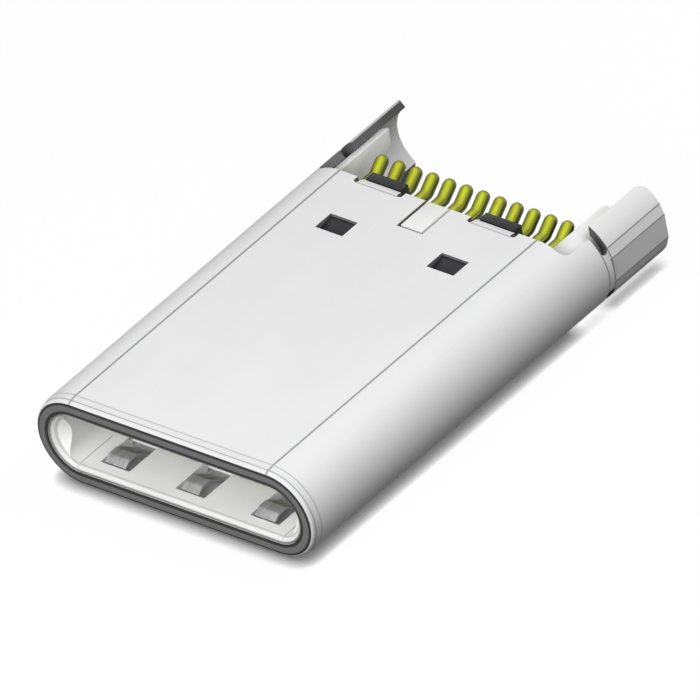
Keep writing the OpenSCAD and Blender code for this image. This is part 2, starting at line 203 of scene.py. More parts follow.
def draw_line(name, points):
    """Draw a line from point to point, and stay in edit mode with its end selected."""
    clear_selection()
    bpy.ops.mesh.primitive_plane_add(size=1)
    piece = bpy.context.object
    piece.name = piece.data.name = name
    edit(piece)
    bpy.ops.mesh.select_all(action="SELECT")
    bpy.ops.mesh.merge(type="CENTER")
    points = [Vector(point) for point in points]
    bpy.ops.transform.translate(value=points[0])
    for before, after in zip(points, points[1:]):
        bpy.ops.mesh.extrude_vertices_move(TRANSFORM_OT_translate={"value": after - before})
    return piece


def draw_loop(name, points):
    """Draw a closed line."""
    piece = draw_line(name, points)
    first, last = Vector(points[0]), Vector(points[-1])
    pick(piece, lambda place: min((place - first).length, (place - last).length) < NEAR)
    bpy.ops.mesh.edge_face_add()
    return piece


def prism(name, points, reach):
    """Fill an outline and pull it out along a vector into a closed block."""
    piece = draw_line(name, points)
    bpy.ops.mesh.select_all(action="SELECT")
    bpy.ops.mesh.edge_face_add()
    bpy.ops.mesh.extrude_region_move(TRANSFORM_OT_translate={"value": reach})
    bpy.ops.mesh.select_all(action="SELECT")
    bpy.ops.mesh.normals_make_consistent(inside=False)
    bpy.ops.object.mode_set(mode="OBJECT")
    return piece


def apply_modifier(piece, kind, **settings):
    make_active(piece)
    modifier = piece.modifiers.new(kind.lower(), kind)
    for key, value in settings.items():
        setattr(modifier, key, value)
    bpy.ops.object.modifier_apply(modifier=modifier.name)


def mirrored(piece, across_x=True, across_z=True):
    """Repeat a cutting block on the other flank, the other face, or both."""
    apply_modifier(piece, "MIRROR", use_axis=(across_x, False, across_z), use_mirror_merge=False)
    return piece


def cut(piece, cutter):
    """Cut a block out of a piece and remove the block."""
    apply_modifier(piece, "BOOLEAN", object=cutter, operation="DIFFERENCE", solver="EXACT")
    bpy.data.meshes.remove(cutter.data)


def rectangle(left, right, front, back):
    """Corners of a rectangle in a plane."""
    return [(left, front), (right, front), (right, back), (left, back)]


def arc(centre, radius, start, end, steps):
    """Points of an arc in a plane, from one angle to another in degrees."""
    turns = [math.radians(start + (end - start) * k / steps) for k in range(steps + 1)]
    return [(centre[0] + radius * math.cos(t), centre[1] + radius * math.sin(t)) for t in turns]


def round_edges(piece, width, segments=2, sharp=30):
    """Round every edge that is sharper than an angle in degrees."""
    apply_modifier(
        piece, "BEVEL", width=width, segments=segments, limit_method="ANGLE", angle_limit=math.radians(sharp),
        use_clamp_overlap=False, miter_outer="MITER_ARC")


def smooth(piece, degrees):
    """Shade a piece smooth, except over edges sharper than an angle."""
    make_active(piece)
    bpy.ops.object.shade_smooth_by_angle(angle=math.radians(degrees))


def duplicate(piece, name):
    """Copy a piece together with its mesh."""
    make_active(piece)
    bpy.ops.object.duplicate(linked=False)
    copy = bpy.context.object
    copy.name = copy.data.name = name
    return copy


def put(piece, location, rotation=(0, 0, 0), scale=1):
    """Scale, turn and move a piece, with its new place in its mesh."""
    make_active(piece)
    piece.scale = (scale,) * 3
    piece.rotation_euler = rotation
    piece.location = location
    bpy.ops.object.transform_apply(location=True, rotation=True, scale=True)


def set_in_frame(piece, material, slot, *nodes):
    """Move a finished piece from millimetres at the mouth into the frame, and let it stand for its nodes."""
    put(piece, (0, MOUTH, MIDDLE), scale=1 / PER_METRE)
    piece.data.materials.clear()
    piece.data.materials.append(material)
    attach(piece, "root")
    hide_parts(*nodes)


def copy_of_node(node, name, quads):
    """Copy a node's mesh to millimetres at the mouth, merge its loose triangles, and pair them if asked."""
    piece = duplicate(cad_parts[node], name)
    for key in list(piece.keys()):
        del piece[key]
    piece.parent = None
    piece.matrix_world = Matrix.Identity(4)
    put(piece, (0, -mm(MOUTH), -mm(MIDDLE)), scale=PER_METRE)
    if piece.data.has_custom_normals:
        bpy.ops.mesh.customdata_custom_splitnormals_clear()
    edit(piece)
    bpy.ops.mesh.select_all(action="SELECT")
    bpy.ops.mesh.remove_doubles(threshold=NEAR)
    if quads:
        bpy.ops.mesh.beautify_fill(angle_limit=COPLANAR)
        bpy.ops.mesh.tris_convert_to_quads(face_threshold=COPLANAR, shape_threshold=math.pi)
    bpy.ops.object.mode_set(mode="OBJECT")
    return piece


# Materials

class Wire:
    """A socket in a node tree. Expressions on wires add Math nodes, and | takes the larger of two values."""

    def __init__(self, tree, socket=None):
        self.tree = tree
        self.socket = socket

    def node(self, kind, settings=None, sockets=None, output=0):
        """Add a node of a type, set it up, feed its sockets, and return one of its outputs."""
        made = self.tree.nodes.new(kind)
        for key, value in (settings or {}).items():
            setattr(made, key, value)
        for key, value in (sockets or {}).items():
            if isinstance(value, Wire):
                self.tree.links.new(value.socket, made.inputs[key])
            else:
                made.inputs[key].default_value = value
        return Wire(self.tree, made.outputs[output])

    def maths(self, operation, first, second=0):
        return self.node("ShaderNodeMath", {"operation": operation}, {0: first, 1: second})

    def __add__(self, other):
        return self.maths("ADD", self, other)

    def __radd__(self, other):
        return self.maths("ADD", other, self)

    def __sub__(self, other):
        return self.maths("SUBTRACT", self, other)

    def __rsub__(self, other):
        return self.maths("SUBTRACT", other, self)

    def __mul__(self, other):
        return self.maths("MULTIPLY", self, other)

    def __rmul__(self, other):
        return self.maths("MULTIPLY", other, self)

    def __pow__(self, other):
        return self.maths("POWER", self, other)

    def __rpow__(self, other):
        return self.maths("POWER", other, self)

    def __or__(self, other):
        return self.maths("MAXIMUM", self, other)

    def __ror__(self, other):
        return self.maths("MAXIMUM", other, self)

    def __abs__(self):
        return self.maths("ABSOLUTE", self)


def rgba(tint, factor):
    """A lighter or darker shade of a tint."""
    return tuple(min(channel * factor, 1) for channel in tint) + (1,)


def blend(wire, factor, first, second):
    """A colour between two others."""
    return wire.node("ShaderNodeMix", {"data_type": "RGBA"}, {
        MIX_FACTOR: factor, MIX_FIRST: first, MIX_SECOND: second}, output=MIX_RESULT)


def darkest(marks, darkness):
    """The darkest of several marks, each of its own darkness."""
    return reduce(or_, (mark * darkness[name] for name, mark in marks.items()))


class Finish:
    """A material under construction: its place on the piece, and its shader."""

    def __init__(self, name):
        self.material = bpy.data.materials.new(name)
        self.material.use_nodes = True
        tree = self.material.node_tree
        self.shader = tree.nodes["Principled BSDF"]
        self.wire = Wire(tree)
        self.place = self.wire.node("ShaderNodeTexCoord", output="Object")

    def stretched(self, x, y, z, start=(0, 0, 0)):
        """The place with its own scale along each axis, in patterns per millimetre."""
        return self.wire.node("ShaderNodeMapping", None, {
            "Vector": self.place, "Location": start,
            "Scale": (x * PER_METRE, y * PER_METRE, z * PER_METRE)})

    def axes(self):
        """The place along each axis in millimetres, from the mouth and from mid height."""
        place = self.stretched(1, 1, 1, start=(0, -mm(MOUTH), -mm(MIDDLE)))
        apart = self.wire.node("ShaderNodeSeparateXYZ", None, {"Vector": place})
        return [Wire(self.wire.tree, socket) for socket in apart.socket.node.outputs]

    def near(self, distance, reach, full=0.0):
        """One up to a distance on both sides, falling to zero at its reach."""
        return self.wire.node("ShaderNodeMapRange", {"interpolation_type": "SMOOTHSTEP"}, {
            "Value": abs(distance), "From Min": reach, "From Max": full})

    def noise(self, vector, detail=3, roughness=0.5):
        return self.wire.node("ShaderNodeTexNoise", None, {
            "Vector": vector, "Scale": 1.0, "Detail": detail, "Roughness": roughness})

    def blend(self, factor, first, second):
        return blend(self.wire, factor, first, second)

    def bump(self, height, distance, strength):
        """A normal from a height pattern whose depth is in millimetres."""
        return self.wire.node("ShaderNodeBump", None, {
            "Height": height, "Distance": distance / PER_METRE, "Strength": strength})

    def feed(self, sockets):
        """Set or link the shader's sockets by name."""
        for name, value in sockets.items():
            socket = self.shader.inputs[name]
            if isinstance(value, Wire):
                self.wire.tree.links.new(value.socket, socket)
            else:
                socket.default_value = value
        return self.material


def satin_nickel(tint, painted_shade):
    """Nickel over drawn steel: fine lines along the plug, painted shade on the front and the nose with dark
    painted lines along edges and creases, and bare steel on the cut faces, painted near black as shade.
    """
    finish = Finish("satin_nickel")
    lines = finish.noise(finish.stretched(22, 0.35, 22), detail=4, roughness=0.6)
    clouds = finish.noise(finish.stretched(0.7, 0.5, 0.7), detail=4)
    grain = finish.noise(finish.stretched(40, 40, 40), detail=2)
    bare = finish.wire.node("ShaderNodeAttribute", {"attribute_name": SHEARED}, output="Fac")
    # The third colour is the painted shade of the front and the nose and of the dark painted lines
    deep, pale, painted_dark, steel = (rgba(tint, factor) for factor in (0.93, 1.06, 0.015, 0.1))
    clean = finish.blend(clouds * 0.6 + lines * 0.4, deep, pale)
    with_painted_shade = finish.blend(painted_shade(finish), clean, painted_dark)
    return finish.feed({
        # The cut faces are bare steel, painted near black as the shade in the slits and the gaps
        "Base Color": finish.blend(bare * (0.8 + grain * 0.2), with_painted_shade, steel),
        "Metallic": 0.04,
        "Roughness": 0.53 + lines * 0.12 + clouds * 0.08 + bare * 0.15,
        "Specular IOR Level": 0.15,
        "Normal": finish.bump(lines * 0.7 + grain * 0.3, distance=0.004, strength=0.12)})


def spring_steel(tint):
    """Rolled spring strip with lines and darker streaks along its length."""
    finish = Finish("spring_steel")
    lines = finish.noise(finish.stretched(40, 0.8, 40))
    streaks = finish.noise(finish.stretched(9, 1.2, 9), detail=2)
    deep, pale = rgba(tint, 0.35), rgba(tint, 1.5)
    return finish.feed({
        "Base Color": finish.blend(streaks, deep, pale),
        "Metallic": 0.15,
        "Roughness": 0.4 + lines * 0.18,
        "Normal": finish.bump(lines, distance=0.003, strength=0.15)})


def lemon_gold(size, tip, slope):
    """Flash gold over nickel, duller in the cloudy spots of the plating, with painted shade darkening to
    olive towards the sides of each contact and the round end of its tail.
    """
    finish = Finish("lemon_gold")
    clouds = finish.noise(finish.stretched(5, 5, 5), detail=4)
    grain = finish.noise(finish.stretched(45, 18, 45), detail=2)
    x, from_mouth, _ = finish.axes()
    pitch, half = mm(size.pitch), mm(size.tail) / 2
    steps = x * (1 / pitch)
    across = abs(steps.maths("FRACT", steps) - 0.5) * pitch
    along = ((from_mouth - tip) * (1 / math.cos(slope)) + half) | 0
    # Painted shade: darker towards the sides of each contact and the round end of its tail
    edge = finish.near((across ** 2 + along ** 2) ** 0.5 - half, half, half * 0.1)
    deep, pale, painted_edge_shade = (rgba(size.tint, factor) for factor in (0.82, 1.15, 0.1))
    plating = finish.blend(clouds, deep, pale)
    return finish.feed({
        "Base Color": finish.blend(edge * 0.92, plating, painted_edge_shade),
        "Metallic": 0.6,
        "Roughness": 0.2 + clouds * 0.18 + grain * 0.06,
        "Normal": finish.bump(grain, distance=0.003, strength=0.2)})


def moulded(name, tint, shades, roughness, marks=lambda finish: 0):
    """Glass-filled moulding: pale fibre specks, flow clouds, a fine matt skin, and painted shade where its
    marks fall.
    """
    finish = Finish(name)
    flow = finish.noise(finish.stretched(1.2, 0.5, 1.2))
    fibres = finish.noise(finish.stretched(30, 7, 30), detail=2)
    skin = finish.noise(finish.stretched(60, 60, 60), detail=2)
    deep, pale = (rgba(tint, factor) for factor in shades)
    clean = finish.blend(flow * 0.6 + fibres * 0.4, deep, pale)
    # Painted shade: the marks darken the moulding towards this colour
    painted_dark = rgba(tint, 0.1)
    return finish.feed({
        "Base Color": finish.blend(marks(finish), clean, painted_dark),
        "Roughness": roughness + skin * 0.14 - fibres * 0.06,
        "Specular IOR Level": 0.3,
        "Normal": finish.bump(skin * 0.6 + fibres * 0.4, distance=0.004, strength=0.2)})


# Pieces

class PLUG_OT_shell(bpy.types.Operator):
    """Draw the shell's wall round the plug, cut its openings and its rear, and mark where it was cut"""

    bl_idname = "plug.shell"
    bl_label = "Drawn shell"

    FLANK_STEPS = 48
    NOSE_STEPS = 18
    FLANK_CORNER_STEPS = 7
    SLIT_END_STEPS = 10
    EAR_CORNER_STEPS = 9
    RELIEF_END_STEPS = 8
    SMOOTH_BELOW = 7
    # A face is sheared where its normal's share of the outward direction is below this
    SHEARED_BELOW = 0.6

    NOSE_TAPER = 0.03
    NOSE_END = 0.35
    LIP = 0.2
    # Width and length of a window, and its middle
    WINDOW = (0.8, 0.58, 1.65, 8.297)
    # Width and length of a key slot
    KEY_SLOT = (0.76, 1.07)
    # Width of a tab, its middle, and how far its edge is pressed down
    TAB = (1.28, 1.68, 0.03)
    # Length and width of the cuts beside a tab
    RELIEF = (0.19, 0.14)
    # Heights of an ear's bends, and how far its flat is pressed in
    EAR_FLAT = 0.32
    EAR_BEVEL = 0.58
    EAR_PRESS = 0.01

    # Reaches of the cutting blocks: through the sheet, and past what they cut
    SHEET_INSIDE = 0.6
    SHEET_OUTSIDE = 1.6
    EAR_INSIDE = 0.4
    ASIDE = -1.5
    OUTWARDS = 2
    BEHIND = 1
    BEHIND_CORNER = 0.4
    BEHIND_TAB = 0.3

    # Widths of the painted shade and the dark painted lines, some with the distance up to which they are full
    LINE = 0.03
    FACE_LINE = 0.05
    TAB_LINE = 0.035
    TAB_FADE = 0.02
    FRONT = (0.006, 0.003)
    FRONT_EDGE = 0.01
    FRONT_EDGE_LINE = (0.016, 0.008)
    LIP_LINE = (0.1, 0.07)
    # Shares of the sheet's thickness within which an ear's outside is marked
    EAR_SKIN = (0.6, 0.4)
    DARKNESS = {
        "beside_face": 0.68,
        "nose_end": 0.45,
        "nose_round": 0.6,
        "nose": 0.1,
        "neck": 0.75,
        "ear_flat": 0.65,
        "ear_bevel": 0.65,
        "tab_bend": 0.5,
        "front": 0.8,
        "front_edge": 0.98,
        "lip": 0.98,
    }

    def execute(self, context):
        size = context.scene.plug_shell
        self.radius = mm(size.height) / 2
        self.flat = mm(size.width) / 2 - self.radius
        self.face = mm(size.face)
        self.total = mm(size.total)
        self.neck_mid = self.face + mm(size.flank) + mm(size.neck) / 2
        shell = self.draw_wall(size)
        for block in (self.rear_gap(), self.flank_notch(size), self.neck_slit(size), self.ear_top(size),
                      self.ear_round(size), self.windows(), self.key_slots(), self.reliefs(),
                      self.tab_slopes(), self.ear_press(size)):
            cut(shell, block)
        edit(shell)
        bpy.ops.mesh.select_all(action="SELECT")
        bpy.ops.mesh.remove_doubles(threshold=NEAR)
        bpy.ops.object.mode_set(mode="OBJECT")
        smooth(shell, self.SMOOTH_BELOW)
        self.mark_sheared(shell)
        finish = satin_nickel(size.tint, lambda finish: self.painted_shade(finish, size))
        set_in_frame(shell, finish, "shell_metal", "shell")
        return {"FINISHED"}

    def mark_sheared(self, shell):
        """Mark the faces that go through the sheet, behind the nose, as sheared."""
        mark = shell.data.attributes.new(SHEARED, "FLOAT", "FACE")
        for face in shell.data.polygons:
            x, y, z = face.center
            outwards = Vector((x - max(-self.flat, min(x, self.flat)), 0, z)).normalized()
            through = abs(face.normal.dot(outwards)) < self.SHEARED_BELOW
            mark.data[face.index].value = y > self.NOSE_END and through

    def painted_shade(self, finish, size):
        """How much painted shade the nickel gets: dark lines beside the flat faces and at the nose's ends, a
        darker nose, dark lines round the necks and along the bends of the ears and the tabs, and a dark
        painted front with its two edges."""
        x, from_mouth, height = finish.axes()
        from_middle = abs(height)
        past_flat = abs(x) - self.flat
        from_axis = ((past_flat | 0) ** 2 + from_middle ** 2) ** 0.5
        wall, nose, nose_r = mm(size.wall), mm(size.nose), mm(size.nose_radius)
        half_neck = mm(size.neck) / 2
        ear = self.total - self.neck_mid
        skin, full_skin = (wall * share for share in self.EAR_SKIN)
        on_ear = finish.near(from_mouth - self.total, ear, ear - half_neck) * finish.near(
            from_axis - self.radius, skin, full_skin)
        tab_w, tab_x, _ = self.TAB
        on_tab = finish.near(abs(x) - tab_x, tab_w / 2, tab_w / 2 - self.TAB_FADE)
        front = finish.near(from_mouth, *self.FRONT)
        lip = self.radius - self.NOSE_TAPER - nose_r - wall
        return darkest({
            "beside_face": finish.near(past_flat, self.FACE_LINE),
            "nose_end": finish.near(from_mouth - nose, self.LINE),
            "nose_round": finish.near(from_mouth - nose_r, self.LINE),
            "nose": finish.near(from_mouth, self.NOSE_END, nose),
            "neck": finish.near(abs(from_mouth - self.neck_mid) - half_neck, self.LINE),
            "ear_flat": finish.near(from_middle - self.EAR_FLAT, self.LINE) * on_ear,
            "ear_bevel": finish.near(from_middle - self.EAR_BEVEL, self.LINE) * on_ear,
            "tab_bend": finish.near(from_mouth - self.face + self.RELIEF[0], self.TAB_LINE) * on_tab,
            "front": front,
            "front_edge": finish.near(from_mouth - self.FRONT_EDGE, *self.FRONT_EDGE_LINE),
            "lip": front * finish.near(from_axis - lip, *self.LIP_LINE),
        }, self.DARKNESS)

    def draw_wall(self, size):
        """Draw the wall's section, turn it round the right flank, pull it along the lower face, and so on."""
        wall, nose_r = mm(size.wall), mm(size.nose_radius)
        inner = self.radius - wall
        front = self.radius - self.NOSE_TAPER - nose_r
        lip = front - wall
        section = arc((nose_r, front), nose_r, 180, 90, self.NOSE_STEPS)
        section += [(mm(size.nose), self.radius), (self.total, self.radius), (self.total, inner),
                    (self.LIP + inner - lip, inner), (self.LIP, lip), (0, lip)]
        shell = draw_loop("drawn_shell", [(self.flat, y, r) for y, r in section])
        bpy.ops.mesh.select_all(action="SELECT")
        for side in (1, -1):
            bpy.ops.mesh.spin(
                steps=self.FLANK_STEPS, angle=math.pi, center=(side * self.flat, 0, 0), axis=(0, -1, 0))
            bpy.ops.mesh.extrude_region_move(TRANSFORM_OT_translate={"value": (-side * 2 * self.flat, 0, 0)})
        bpy.ops.mesh.select_all(action="SELECT")
        bpy.ops.mesh.remove_doubles(threshold=NEAR)
        bpy.ops.mesh.normals_make_consistent(inside=False)
        bpy.ops.object.mode_set(mode="OBJECT")
        return shell

    def through_sheet(self, name, outline, inside=SHEET_INSIDE):
        """Block from an outline in [x, y] that goes through the sheet of the upper face."""
        return prism(name, [(x, y, inside) for x, y in outline], (0, 0, self.SHEET_OUTSIDE - inside))

    def on_flank(self, name, outline, turn):
        """Block from an outline in [arc, y], laid on each quarter of the flanks at an angle from the top."""
        block = self.through_sheet(name, outline)
        put(block, (self.flat, 0, 0), (0, turn, 0))
        return mirrored(block)

    def rear_gap(self):
        section = rectangle(-self.flat, self.flat, -self.OUTWARDS, self.OUTWARDS)
        return prism("rear_gap", [(x, self.face, z) for x, z in section], (0, 2 * self.OUTWARDS, 0))

    def flank_notch(self, size):
        r = mm(size.flank_corner)
        corner = arc((-r, self.face + r), r, 270, 360, self.FLANK_CORNER_STEPS)
        outline = [(self.ASIDE, self.face)] + corner + [(0, self.neck_mid), (self.ASIDE, self.neck_mid)]
        return self.on_flank("flank_notch", outline, size.flank_edge)

    def neck_slit(self, size):
        r = mm(size.neck) / 2
        end = arc((0, self.neck_mid), r, -90, 90, self.SLIT_END_STEPS)
        outline = [(self.ASIDE, self.neck_mid - r)] + end + [(self.ASIDE, self.neck_mid + r)]
        return self.on_flank("neck_slit", outline, size.neck_edge)

    def ear_top(self, size):
        x = self.flat + self.radius * math.sin(size.ear_edge)
        outline = rectangle(0, x, self.neck_mid, self.total + self.BEHIND)
        return mirrored(self.through_sheet("ear_top", outline, self.EAR_INSIDE))

    def ear_round(self, size):
        r = mm(size.ear_corner)
        corner = arc((0, self.total - r), r, 180, 90, self.EAR_CORNER_STEPS)
        behind = self.total + self.BEHIND_CORNER
        outline = corner + [(0, behind), (-2 * r, behind), (-2 * r, self.total - r)]
        return self.on_flank("ear_round", outline, size.ear_edge + r / self.radius)

    def windows(self):
        w, d, x, y = self.WINDOW
        return mirrored(self.through_sheet(
            "windows", rectangle(x - w / 2, x + w / 2, y - d / 2, y + d / 2)))

    def key_slots(self):
        w, d = self.KEY_SLOT
        outline = rectangle(-w / 2, w / 2, self.face - d, self.face + self.BEHIND)
        return mirrored(self.through_sheet("key_slots", outline), across_x=False)

    def reliefs(self):
        """The narrow cuts on both sides of each tab."""
        w, x, _ = self.TAB
        d, r = self.RELIEF[0], self.RELIEF[1] / 2
        behind = self.face + self.BEHIND
        blocks = []
        for middle in (x - w / 2, x + w / 2):
            end = arc((middle, self.face - d + r), r, 180, 360, self.RELIEF_END_STEPS)
            blocks.append(self.through_sheet("relief", end + [(middle + r, behind), (middle - r, behind)]))
        make_active(blocks[0])
        blocks[1].select_set(True)
        bpy.ops.object.join()
        return mirrored(blocks[0])

    def tab_slopes(self):
        """The wedges that press the tabs' edges down."""
        w, x, press = self.TAB
        start = self.face - self.RELIEF[0] + self.RELIEF[1] / 2
        end = self.face + self.BEHIND_TAB
        slope = press / (self.face - start)
        wedge = [(start, self.radius), (start, self.SHEET_OUTSIDE), (end, self.SHEET_OUTSIDE),
                 (end, self.radius - slope * (end - start))]
        return mirrored(prism("tab_slopes", [(x - w / 2, y, z) for y, z in wedge], (w, 0, 0)))

    def flank_x(self, z):
        return self.flat + math.sqrt(self.radius ** 2 - z ** 2)

    def ear_press(self, size):
        """The flat and the two bevels that are pressed on the outside of each ear."""
        flat_edge = Vector((self.flank_x(self.EAR_FLAT) - self.EAR_PRESS, self.EAR_FLAT))
        bevel_edge = Vector((self.flank_x(self.EAR_BEVEL), self.EAR_BEVEL))
        outside = 2 * bevel_edge - flat_edge
        upper = [(self.flat + self.OUTWARDS, outside.y), tuple(outside), tuple(flat_edge)]
        outline = upper + [(x, -z) for x, z in reversed(upper)]
        start = self.neck_mid + mm(size.neck) / 4
        reach = self.total + self.BEHIND - start
        block = prism("ear_press", [(x, start, z) for x, z in outline], (0, reach, 0))
        return mirrored(block, across_z=False)


class PLUG_OT_mouldings(bpy.types.Operator):
    """Shorten the comb of the front housing, and round the edges of the carriers and the rear insulator"""

    bl_idname = "plug.mouldings"
    bl_label = "Moulded parts"

    SMOOTH_BELOW = 25
    # Where the comb's slots start in the frame, and where they start here
    COMB_FRONT = (1.3, 1.46)
    # Places of the lines in the housing
    LEAD_LINE = 0.13
    SIDE_LINE = 3.03
    # Widths of the housing's painted shade and dark painted lines, each with the distance up to which it is
    # full
    FRONT = (0.06, 0.03)
    LEAD_IN = (0.16, 0.13)
    LEAD_LINE_WIDTH = (0.04, 0.01)
    SIDE_LINE_WIDTH = (0.035, 0.01)
    SIDE_LINE_END = (1.4, 1.3)
    DARKNESS = {"front": 0.85, "lead_in": 0.2, "lead_line": 0.42, "side_line": 0.42}

    def execute(self, context):
        size = context.scene.plug_mouldings
        pale = moulded("pale_moulding", size.housing, (0.94, 1.05), 0.42, self.housing_painted_shade)
        black = moulded("black_moulding", size.carrier, (0.7, 1.6), 0.38)
        white = moulded("white_moulding", size.insulator, (0.95, 1.04), 0.4)
        finishes = {
            "front_housing": (pale, "housing_plastic"),
            "upper_carrier": (black, "carrier_plastic"),
            "rear_insulator": (white, "insulator_plastic"),
            "lower_carrier": (black, "carrier_plastic"),
        }
        for node, (finish, slot) in finishes.items():
            piece = copy_of_node(node, "moulded_" + node, quads=True)
            if node == "front_housing":
                self.shorten_comb(piece)
            else:
                round_edges(piece, mm(size.edge))
            smooth(piece, self.SMOOTH_BELOW)
            set_in_frame(piece, finish, slot, node)
        return {"FINISHED"}

    def housing_painted_shade(self, finish):
        """How much painted shade the housing gets: a dark front, a darker lead-in, and dark lines along the
        lead-in's edge and along |x| = 3.03 near the mouth.
        """
        x, from_mouth, _ = finish.axes()
        return darkest({
            "front": finish.near(from_mouth, *self.FRONT),
            "lead_in": finish.near(from_mouth, *self.LEAD_IN),
            "lead_line": finish.near(from_mouth - self.LEAD_LINE, *self.LEAD_LINE_WIDTH),
            "side_line": finish.near(abs(x) - self.SIDE_LINE, *self.SIDE_LINE_WIDTH) * finish.near(
                from_mouth, *self.SIDE_LINE_END),
        }, self.DARKNESS)

    def shorten_comb(self, housing):
        """Move the front ends of the comb's slots back to where the contacts' tips just clear them."""
        front, back = self.COMB_FRONT
        edit(housing)
        pick(housing, lambda place: abs(place.y - front) < NEAR)
        bpy.ops.transform.translate(value=(0, back - front, 0))
        bpy.ops.object.mode_set(mode="OBJECT")


class PLUG_OT_springs(bpy.types.Operator):
    """Widen the fingers of the ground springs and round their edges, and finish the latch plate"""

    bl_idname = "plug.springs"
    bl_label = "Springs and latch plate"

    SMOOTH_BELOW = 25
    # Middles of the ground fingers, what is taken as a finger's front, and how much wider it gets
    FINGERS = (-2.22, 0.0, 2.22)
    FINGER_FRONT = 1.0
    FINGER_HALF = 0.4
    WIDER = 1.35

    def execute(self, context):
        size = context.scene.plug_mouldings
        finish = spring_steel(size.steel)
        for node in ("latch_plate", "upper_emi_spring", "lower_emi_spring"):
            piece = copy_of_node(node, "stamped_" + node, quads=False)
            if node != "latch_plate":
                self.widen_fingers(piece)
                round_edges(piece, mm(size.spring_edge))
            smooth(piece, self.SMOOTH_BELOW)
            set_in_frame(piece, finish, "spring_steel", node)
        return {"FINISHED"}

    def widen_fingers(self, spring):
        """Widen the front of each ground finger to nearly fill its pocket."""
        edit(spring)
        for x in self.FINGERS:
            pick(spring, lambda place: place.y < self.FINGER_FRONT and abs(place.x - x) < self.FINGER_HALF)
            bpy.ops.transform.resize(value=(self.WIDER, 1, 1), center_override=(x, 0, 0))
        bpy.ops.object.mode_set(mode="OBJECT")


class PLUG_OT_contacts(bpy.types.Operator):
    """Draw one contact of each of the two lengths as a bent strip, and copy them along both rows"""

    bl_idname = "plug.contacts"
    bl_label = "Contacts"

    # Rise of the tip before the crown, and the crown's place, in [y, z]
    TIP = (0.5, 0.27)
    CROWN = (2.3, 0.345)
    BACK_WALL = 6.4
    SHOULDER = 6.75
    TAIL_HEIGHT = 0.475
    # Where a tail starts to flare, and the flare's length and angle in degrees
    FLARE_START = 10.92
    FLARE = (0.53, 38)
    BEND_RADII = (0.3, 0.45, 0.15)
    BEND_STEPS = 6
    # Share of half a tail's width that rounds its end
    END_ROUND = 0.98
    END_STEPS = 6
    EDGE_STEPS = 4
    SMOOTH_BELOW = 40
    # Contacts that mate first, counted from either end of a row, and how far ahead they reach
    FIRST_MATES = (1, 4)
    FIRST_MATE_LEAD = 0.3

    def execute(self, context):
        size = context.scene.plug_contacts
        finish = lemon_gold(size, self.path(0)[-1].x, math.radians(self.FLARE[1]))
        masters = {lead: self.strip(size, lead) for lead in (0, self.FIRST_MATE_LEAD)}
        for number in range(1, CONTACTS_IN_ROW + 1):
            from_end = min(number, CONTACTS_IN_ROW + 1 - number)
            master = masters[self.FIRST_MATE_LEAD if from_end in self.FIRST_MATES else 0]
            x = (number - (CONTACTS_IN_ROW + 1) / 2) * mm(size.pitch)
            for row, turn in (("upper", 0), ("lower", math.pi)):
                node = f"{row}_contact_{number}"
                contact = duplicate(master, "plated_" + node)
                put(contact, (x, 0, 0), (0, turn, 0))
                set_in_frame(contact, finish, "contact_gold", node)
        for master in masters.values():
            bpy.data.meshes.remove(master.data)
        return {"FINISHED"}

    def path(self, lead):
        """Middle line of a contact in [y, z], with its bends rounded."""
        reach, degrees = self.FLARE
        flare = math.radians(degrees)
        corners = [
            Vector((self.CROWN[0] - lead - self.TIP[0], self.CROWN[1] + self.TIP[1])),
            Vector((self.CROWN[0] - lead, self.CROWN[1])),
            Vector((self.BACK_WALL, self.TAIL_HEIGHT)),
            Vector((self.FLARE_START, self.TAIL_HEIGHT)),
            Vector((self.FLARE_START + reach * math.cos(flare), self.TAIL_HEIGHT + reach * math.sin(flare)))]
        points = [corners[0]]
        for before, corner, after, radius in zip(corners, corners[1:], corners[2:], self.BEND_RADII):
            points += self.bend(before, corner, after, radius)
        points.append(corners[-1])
        shoulder = Vector((self.SHOULDER, self.TAIL_HEIGHT))
        return sorted(points + [shoulder], key=lambda point: point.x)

    def bend(self, before, corner, after, radius):
        """Points of the arc that rounds a corner."""
        u, w = (before - corner).normalized(), (after - corner).normalized()
        half = u.angle(w) / 2
        centre = corner + (u + w).normalized() * radius / math.sin(half)
        first = corner + u * radius / math.tan(half) - centre
        last = corner + w * radius / math.tan(half) - centre
        return [centre + radius * first.lerp(last, k / self.BEND_STEPS).normalized()
                for k in range(self.BEND_STEPS + 1)]

    def strip(self, size, lead):
        """Pull an edge along the path, widen it at the shoulder, round the tail's end, and thicken it."""
        beam, tail = mm(size.beam), mm(size.tail)
        path = self.path(lead)
        contact = draw_line("contact", [(-beam / 2, *path[0]), (beam / 2, *path[0])])
        bpy.ops.mesh.select_all(action="SELECT")
        for before, after in zip(path, path[1:]):
            step = after - before
            bpy.ops.mesh.extrude_edges_move(TRANSFORM_OT_translate={"value": (0, step.x, step.y)})
            if after.x == self.SHOULDER:
                bpy.ops.transform.resize(value=(tail / beam, 1, 1), center_override=(0, 0, 0))
        end = path[-1]
        pick(contact, lambda place: (place.yz - end).length < NEAR)
        bpy.ops.mesh.bevel(
            affect="VERTICES", offset=tail / 2 * self.END_ROUND, offset_type="OFFSET",
            segments=self.END_STEPS)
        bpy.ops.object.mode_set(mode="OBJECT")
        apply_modifier(contact, "SOLIDIFY", thickness=mm(size.strip), offset=0, use_even_offset=True)
        edit(contact)
        bpy.ops.mesh.select_all(action="SELECT")
        bpy.ops.mesh.normals_make_consistent(inside=False)
        bpy.ops.object.mode_set(mode="OBJECT")
        round_edges(contact, mm(size.edge), segments=self.EDGE_STEPS, sharp=self.SMOOTH_BELOW)
        smooth(contact, self.SMOOTH_BELOW)
        return contact


# Stage

